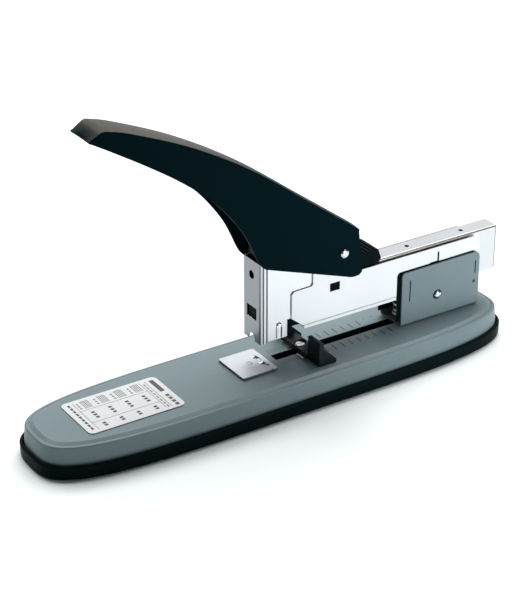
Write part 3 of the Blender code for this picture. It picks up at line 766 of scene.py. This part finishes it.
def springs(looks):
    """The three coil springs, each riding on its body."""
    wire = looks["spring_wire"]
    low, high = size_of("return_spring")
    centre = ((low.x + high.x) / 2, 0.0)
    path = coil_path(low.z, high.z, "Z", centre, 5.9, 0.8, 5.0)
    lift = raw_object("lift", tube(path, 0.8))
    dress(lift, "return_coil", wire, "base", ["return_spring"])
    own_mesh(lift)

    low, high = size_of("handle_spring")
    centre = ((low.x + high.x) / 2, 0.0)
    path = coil_path(low.z, high.z, "Z", centre, 4.2, 0.6, 8.5)
    push = raw_object("push", tube(path, 0.6))
    dress(push, "handle_coil", wire, "arm", ["handle_spring"])
    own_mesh(push)

    low, high = size_of("follower_spring")
    centre = (0.0, (low.z + high.z) / 2)
    path = coil_path(low.x, high.x, "X", centre, 3.1, 0.45, 24, 24)
    feed = raw_object("feed", tube(path, 0.45, 8))
    dress(feed, "follower_coil", wire, "arm", ["follower_spring"])
    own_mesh(feed)


# ---------------------------------------------------------------- guide

def paper_guide(looks):
    """The black paper stop: a ramped bridge, and an upright with a sloping gusset on each side."""
    low, high = size_of("paper_guide")
    front = low.x
    foot = low.z
    screw_low, screw_high = size_of("guide_screw")
    screw = ((screw_low.x + screw_high.x) / 2, 0.0)
    bridge = rounded([(front, foot + 0.9, 0), (front + 7.6, foot + 0.9, 0), (front + 7.6, 23.2, 0.6),
                      (front + 5.2, 23.2, 0.8), (front + 0.4, 21.4, 0.5), (front, 20.9, 0)], 4)
    guide = raw_object("guide", prism(bridge, "Y", -11.3, 11.3))
    side = rounded([(front + 0.8, foot, 0), (front + 11.6, foot, 0), (front + 11.6, 20.8, 0.6),
                    (front + 3.6, 28.6, 1.2), (front + 3.2, high.z, 0.6), (front + 0.8, high.z, 0.5)], 5)
    carve(guide, [prism(side, "Y", -high.y, -11.0), prism(side, "Y", 11.0, high.y)], "UNION")
    carve(guide, [turned([(3.05, 21.0), (3.05, 26.0)], screw, "Z"),
                  turned([(1.8, 14.0), (1.8, 23.0)], screw, "Z")])
    dress(guide, "guide_moulding", looks["glossy_plastic"], "guide", ["paper_guide"],
          soft=0.22)
    top = screw_high.z
    profile = [(1.5, screw_low.z), (1.5, top - 1.0), (2.7, top - 1.0), (2.75, top - 0.4),
               (2.5, top - 0.1), (2.1, top)]
    fastener = raw_object("fastener", turned(profile, screw, "Z"))
    carve(fastener, [prism(rectangle(screw, (3.4, 0.35)), "Z", top - 0.5, top + 1.0)])
    dress(fastener, "guide_clamp_screw", looks["steel"], "guide", ["guide_screw"],
          soft=0.06)


# ---------------------------------------------------------------- arm

def core_rail(looks):
    """The bright inverted channel: rounded folds, side slots, holes in its top."""
    low, high = size_of("core_rail")
    out, sheet = high.y, 0.8
    inner, roof = out - sheet, high.z - sheet
    section = rounded([(-out, low.z, 0), (-inner, low.z, 0), (-inner, roof, 0.4), (inner, roof, 0.4),
                       (inner, low.z, 0), (out, low.z, 0), (out, high.z, 1.1), (-out, high.z, 1.1)])
    rail = raw_object("rail", prism(section, "X", low.x, high.x))
    side = [(low.x - 1, 38.2), (90.0, 38.2), (90.0, low.z - 1), (high.x + 1, low.z - 1),
            (high.x + 1, high.z + 1), (low.x - 1, high.z + 1)]
    carve(rail, [prism(side, "Y", -9, 9)], "INTERSECT")
    cuts = [prism(rectangle((47.5, 49.5), (42.5, 1.4), 1.3), "Y", -10, 10)]
    cuts += [prism(circle((x, 0.0), 1.3), "Z", 55, 70) for x in (86.0, 123.2)]
    for reach in ((-out - 1, -out + 0.12), (out - 0.12, out + 1)):
        hem = rectangle((high.x - 0.5, 50.0), (0.25, 30.0))
        cuts.append(prism(hem, "Y", *reach))
    carve(rail, cuts)
    dress(rail, "rail_channel", looks["rail_sheet"], "arm", ["core_rail"],
          soft=0.14)
    # painted shade: the folds along the rail's top and the hems at its rear end take a dark tone
    second_finish(rail, looks["painted_fold_shade"],
                  lambda p, n: (min(abs(n.y), abs(n.z)) > 0.3 and p.z > high.z - 1.2
                                or abs(p.x - high.x + 0.5) < 0.3 and abs(p.y) < out - 0.05))


def head_cover(looks):
    """The cover on the front of the head: folded flanges, a round and a square opening, a notch."""
    low, high = size_of("head_cover")
    out, sheet = high.y, 0.7
    front, back = low.x, high.x
    section = rounded([(front, -out, 1.7), (back, -out, 0), (back, -out + sheet, 0),
                       (front + sheet, -out + sheet, 1.0), (front + sheet, out - sheet, 1.0),
                       (back, out - sheet, 0), (back, out, 0), (front, out, 1.7)])
    cover = raw_object("cover", prism(section, "Z", low.z, high.z))
    notch = [(-2.9, low.z - 3), (2.9, low.z - 3)] + arc((0.0, low.z + 1.0), 2.9, 0, 180, 20)
    openings = [circle((0.0, 71.5), 2.3), rectangle((0.0, 50.0), (4.6, 3.4), 0.3), notch]
    cuts = [prism(outline, "X", front - 2, front + 2) for outline in openings]
    grooves = ((-12.5, -11.6), (-10.4, -9.5))
    for side in (-1, 1):
        span = sorted((side * (out - 0.35), side * (out + 1.0)))
        for x_low, x_high in grooves:
            line = rectangle(((x_low + x_high) / 2, (low.z + high.z) / 2), ((x_high - x_low) / 2, 30.0))
            cuts.append(prism(line, "Y", *span))
    carve(cover, cuts)
    dress(cover, "cover_folded", looks["front_sheet"], "arm", ["head_cover"],
          soft=0.1)
    # painted shade in the grooves on the cover's flanges
    second_finish(cover, looks["recess"],
                  lambda p, n: -12.7 < p.x < -9.3 and out - 0.5 < abs(p.y) < out - 0.02)


def plate_backing(looks):
    """What lies behind the side plates: their overlap with the head plates, a turned-in flange
    along the top, and black sheets behind the window and the latch slot as painted shade."""
    low, high = size_of("side_plate_near")
    inside = -low.y - (high.y - low.y)
    overlap = [(5.95, 43.65), (26.0, 43.65), (26.0, 76.0), (19.25, 70.9), (19.25, 60.28),
               (18.32, 59.25), (7.4, 58.95), (5.95, 57.58)]
    flange = rectangle((97.0, 59.6), (32.0, 0.25))
    # painted shade: black sheets behind the window and the latch slot
    shade_sheets = [rectangle((33.2, 55.4), (4.6, 3.4)), rectangle((99.4, 54.3), (4.6, 4.2))]
    for name, side in (("near", -1), ("far", 1)):
        slope = []
        for y, shift in ((inside - 0.28, 0.5), (inside + 0.59, 0.0)):
            slope.append([Vector((x - (shift if x < 20 else 0), side * y,
                                  z + (0.6 * shift if x < 20 and z > 50 else 0)))
                          for x, z in overlap])
        joggle = raw_object(f"joggle_{name}", loft(slope))
        dress(joggle, f"plate_overlap_{name}", looks["upright_plate"], "arm", angle=20)
        shapes = [(f"plate_flange_{name}", flange, 0.8, "dull_sheet")]
        shapes += [(f"plate_shade_sheet_{name}_{i + 1}", shade_sheet, 0.4, "black_plastic")
                   for i, shade_sheet in enumerate(shade_sheets)]
        for title, outline, depth, finish in shapes:
            span = sorted((side * (inside - 0.02), side * (inside - depth)))
            made = raw_object(title, prism(outline, "Y", *span))
            dress(made, title, looks[finish], "arm")


def cover_opening_shade(looks):
    """The black sheet behind the cover's square opening, as painted shade."""
    cover_low = size_of("head_cover")[0]
    # painted shade: a black sheet fills the view into the square opening
    opening_shade = raw_object("opening_shade", prism(rectangle((0.0, 49.3), (5.6, 4.0)), "X",
                                          cover_low.x + 0.8, cover_low.x + 1.1))
    dress(opening_shade, "cover_opening_shade", looks["black_plastic"], "arm")


def louvre(looks):
    """The pressed half-round rib near the lower edge of each head plate."""
    for name, side in (("near", -1), ("far", 1)):
        plate_low, plate_high = size_of(f"head_plate_{name}")
        face = plate_low.y if side < 0 else plate_high.y
        path = [Vector((-1.5, face, 34.8 + 0.8 * k)) for k in range(12)]
        rib = tube(path, 1.9, 20)
        for vert in rib.verts:
            end = min(max((vert.co.z - 41.2) / 2.4, 0.0), 1.0)
            arch = math.sqrt(1 - end * end)
            vert.co.x = -1.5 + (vert.co.x + 1.5) * arch
            vert.co.y = face + (vert.co.y - face) * 0.55 * arch
        made = raw_object(f"rib_{name}", rib)
        dress(made, f"head_rib_{name}", looks["upright_plate"], "arm", angle=60)


# ---------------------------------------------------------------- follower

def follower(looks):
    """The black follower: a saddle round the rail and a ribbed grip with a chamfered rear."""
    low, high = size_of("follower")
    inside = size_of("core_rail")[1].y + 0.3
    roof = size_of("core_rail")[1].z + 0.3
    out = 6.3
    saddle_top = 63.8
    section = rounded([(-out, low.z, 0.2), (-inside, low.z, 0.2), (-inside, roof, 0.3),
                       (inside, roof, 0.3), (inside, low.z, 0.2), (out, low.z, 0.2),
                       (out, saddle_top, 0.8), (-out, saddle_top, 0.8)])
    saddle = raw_object("saddle", prism(section, "X", low.x, 60.0))
    grip = [(44.2, 61.9), (61.3, 61.9), (63.1, 63.9), (61.0, high.z - 0.5)]
    for k in range(6):
        x = 59.9 - 2.5 * k
        grip += arc((x - 0.65, high.z - 0.65), 0.65, 10, 170, 6)
        grip += [(x - 1.5, high.z - 0.75), (x - 2.2, high.z - 0.75)]
    grip.append((44.2, high.z - 0.1))
    carve(saddle, [prism(grip, "Y", -high.y, high.y)], "UNION")
    room = [(-inside, 20.0), (inside, 20.0), (inside, roof), (-inside, roof)]
    carve(saddle, [prism(room, "X", low.x - 5.0, 70.0),
                   turned([(1.3, -10.0), (1.3, 10.0)], (8.0, 49.5), "Y")])
    dress(saddle, "follower_moulding", looks["black_plastic"], "follower", ["follower"],
          soft=0.2)


# ---------------------------------------------------------------- handle

def handle_top():
    """The handle's upper line, from its rear to the lip at its tip."""
    line = smooth([(47.2, 86.0), (16.0, 109.0), (-20.0, 135.2), (-54.0, 154.8), (-86.0, 168.7),
                   (-99.6, 173.0)], 10)
    return line + [(-101.0, 172.95), (-102.4, 172.35), (-104.0, 171.35), (-106.0, 169.95),
                   (-107.4, 168.95), (-108.2, 168.3)]


def handle_bottom_front():
    """The lower line, from the corner beside the head to the lip."""
    line = smooth([(-13.6, 79.2), (-16.6, 84.3), (-24.3, 100.3), (-35.9, 116.1), (-47.2, 127.2),
                   (-62.7, 139.4), (-79.9, 150.9), (-96.5, 161.2), (-104.0, 165.6)], 8)
    return line + [(-107.8, 167.75)]


def handle_bottom_rear():
    """The lower line, from the rear edge round the corner and along the straight stretch."""
    corner = arc((45.8, 62.3), 3.3, 0, -90, 8)
    return corner + [(43.2, 59.0), (41.6, 59.25), (38.5, 60.4)] + arc((-10.3, 81.0), 3.4, 254, 217, 6)


def skin_half(upper, lower, inward, width):
    """Half of one row across the handle, as (y, point): up the side, round the fold, to the middle."""
    crown, fold = 0.5, 1.1
    reach = (upper - lower).length
    bend = min(fold, 0.45 * reach)
    dome = crown * min(1.0, reach / 8.0)
    half = [(width, lower.lerp(upper + inward * (bend + dome), k / 8)) for k in range(9)]
    for k in range(1, 7):
        a = math.radians(15 * k)
        depth = dome + bend * (1 - math.sin(a))
        half.append((width - bend * (1 - math.cos(a)), upper + inward * depth))
    flat = width - bend
    for k in range(1, 5):
        y = flat * (1 - k / 4)
        half.append((y, upper + inward * (dome * (y / flat) ** 2)))
    return half


def handle_skin():
    """The handle's outer skin: a channel with a slightly crowned roof and rounded folds."""
    half_width = size_of("handle_shell")[1].y
    top = handle_top()
    split = 21
    rear_count, front_count = 36, 64
    line_top = resample(top[:split], rear_count) + resample(top[split - 1:], front_count)[1:]
    line_low = resample(handle_bottom_rear(), rear_count)
    line_low += resample(handle_bottom_front(), front_count)[1:]
    bm = bmesh.new()
    rows = []
    last = len(line_top) - 1
    for i, (upper, lower) in enumerate(zip(line_top, line_low)):
        along = (line_top[min(i + 1, last)] - line_top[max(i - 1, 0)]).normalized()
        inward = Vector((-along.y, along.x))
        if inward.y > 0:
            inward = -inward
        narrow = max(0.0, (-upper.x - 99.0) / 9.3)
        half = skin_half(upper, lower, inward, half_width - 0.9 * narrow ** 2)
        row = [bm.verts.new((p.x, -y, p.y)) for y, p in half]
        row += [bm.verts.new((p.x, y, p.y)) for y, p in reversed(half[:-1])]
        rows.append(row)
    for before, after in zip(rows, rows[1:]):
        for k in range(len(before) - 1):
            bm.faces.new((before[k], before[k + 1], after[k + 1], after[k]))
    bmesh.ops.recalc_face_normals(bm, faces=bm.faces[:])
    middle = rows[len(rows) // 2]
    roof_face = middle[len(middle) // 2].link_faces[0]
    if roof_face.normal.z < 0:
        bmesh.ops.reverse_faces(bm, faces=bm.faces[:])
    return bm


def handle_shell(looks):
    """The black folded handle, 1.2 mm thick, with a hole for its rivet."""
    shell = raw_object("shell", handle_skin())
    thick = shell.modifiers.new("sheet", "SOLIDIFY")
    thick.thickness = 1.2 * MM
    thick.offset = -1.0
    thick.use_even_offset = True
    apply_modifiers(shell)
    low, high = size_of("handle_rivet")
    rivet = ((low.x + high.x) / 2, (low.z + high.z) / 2)
    carve(shell, [prism(circle(rivet, 2.4), "Y", -20, 20)])
    dress(shell, "handle_pressing", looks["black_paint"], "handle", ["handle_shell"],
          soft=0.22, angle=40)


# ---------------------------------------------------------------- the rest of the frame

def dress_frame(looks):
    """Gives every CAD node that still shows its finish and soft edges."""
    special = {"bottom_rail": "side_sheet", "driver_blade": "dark_steel", "driver_block": "dark_steel",
               "head_plate_near": "upright_plate", "head_plate_far": "upright_plate",
               "side_plate_near": "side_sheet", "side_plate_far": "side_sheet"}
    slots = {row["node"]: row["material_slot"] for row in frame["record"]["subparts"]}
    for name, node in frame["nodes"].items():
        finish = looks[special.get(name, slots[name])]
        node.data.materials.clear()
        node.data.materials.append(finish)
        if node.hide_render:
            continue
        round_edges(node, 0.12, 2, 40)
        even_shading(node)


# ---------------------------------------------------------------- stage

def look_along(direction):
    """The rotation of a camera or a light that looks along a direction."""
    return Vector(direction).to_track_quat("-Z", "Y").to_euler()


def pale_floor():
    """A wide matt floor with a faint unevenness."""
    bpy.ops.mesh.primitive_plane_add(size=12.0)
    floor = bpy.context.object
    floor.name = "floor"
    n = Nodes("pale floor")
    tone = n.blend(n.between(n.noise(3.0), 0.0, 1.0), (0.835, 0.87, 0.878), (0.85, 0.885, 0.89))
    n.link(tone, n.shader.inputs["Base Color"])
    n.shader.inputs["Roughness"].default_value = 0.9
    n.shader.inputs["Specular IOR Level"].default_value = 0.1
    floor.data.materials.append(n.material)


def area_light(name, place, aim, size, power, spread=180):
    """A soft rectangular light at a place, looking along a direction."""
    data = bpy.data.lights.new(name, "AREA")
    data.shape = "RECTANGLE"
    data.size, data.size_y = size
    data.energy = power
    data.spread = math.radians(spread)
    lamp = bpy.data.objects.new(name, data)
    lamp.location = place
    lamp.rotation_euler = look_along(aim)
    bpy.context.scene.collection.objects.link(lamp)


def studio_light():
    """A key light from above, a white wall behind, a weak fill at the right, and a dim world."""
    above = Vector((0.22, 0.36, 0.91))
    behind = Vector((0.50, 0.80, 0.22))
    area_light("key", above.normalized() * 2.6, -above, (3.4, 1.9), 128.0)
    area_light("white wall", behind.normalized() * 3.0, -behind, (5.0, 2.3), 32.0)
    area_light("right fill", (0.24, -0.5, 0.14), (-0.05, 1.0, -0.15), (0.25, 0.25), 0.5, 75)
    world = bpy.data.worlds.new("studio")
    world.use_nodes = True
    background = world.node_tree.nodes["Background"]
    background.inputs["Color"].default_value = (0.9, 0.95, 1.0, 1.0)
    background.inputs["Strength"].default_value = 0.12
    bpy.context.scene.world = world


def studio_camera():
    """The camera, looking down past the nose from the near side."""
    data = bpy.data.cameras.new("camera")
    data.lens = 108.0
    data.sensor_width = 36.0
    data.clip_start = 0.05
    data.clip_end = 50.0
    camera = bpy.data.objects.new("camera", data)
    camera.location = (-0.4583, -0.6960, 0.4836)
    camera.rotation_euler = look_along((0.482, 0.746, -0.459))
    bpy.context.scene.collection.objects.link(camera)
    bpy.context.scene.camera = camera
    bpy.context.scene.view_settings.view_transform = "Standard"


# ---------------------------------------------------------------- the stapler

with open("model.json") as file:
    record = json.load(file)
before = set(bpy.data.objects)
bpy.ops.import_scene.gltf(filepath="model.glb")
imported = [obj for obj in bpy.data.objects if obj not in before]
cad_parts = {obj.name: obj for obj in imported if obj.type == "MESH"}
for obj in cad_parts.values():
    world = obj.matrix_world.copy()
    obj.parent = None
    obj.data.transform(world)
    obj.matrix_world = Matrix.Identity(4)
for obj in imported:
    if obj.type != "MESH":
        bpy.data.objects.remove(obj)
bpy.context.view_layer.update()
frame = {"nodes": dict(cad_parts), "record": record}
finishes = make_materials()

pale_floor()
studio_light()
studio_camera()
base_tray(finishes)
base_shell(finishes)
deck_marks(finishes)
label(finishes)
anvil(finishes)
rear_bracket(finishes)
cheek_black_sheets(finishes)
headed_pin("main_pivot_pin", "pivot_pin_domed", 2.3, 2.1, finishes["steel"], "base")
springs(finishes)
paper_guide(finishes)
core_rail(finishes)
head_cover(finishes)
plate_backing(finishes)
cover_opening_shade(finishes)
louvre(finishes)
headed_pin("handle_rivet", "handle_rivet_domed", 2.6, 2.0, finishes["steel"], "arm")
follower(finishes)
handle_shell(finishes)
dress_frame(finishes)
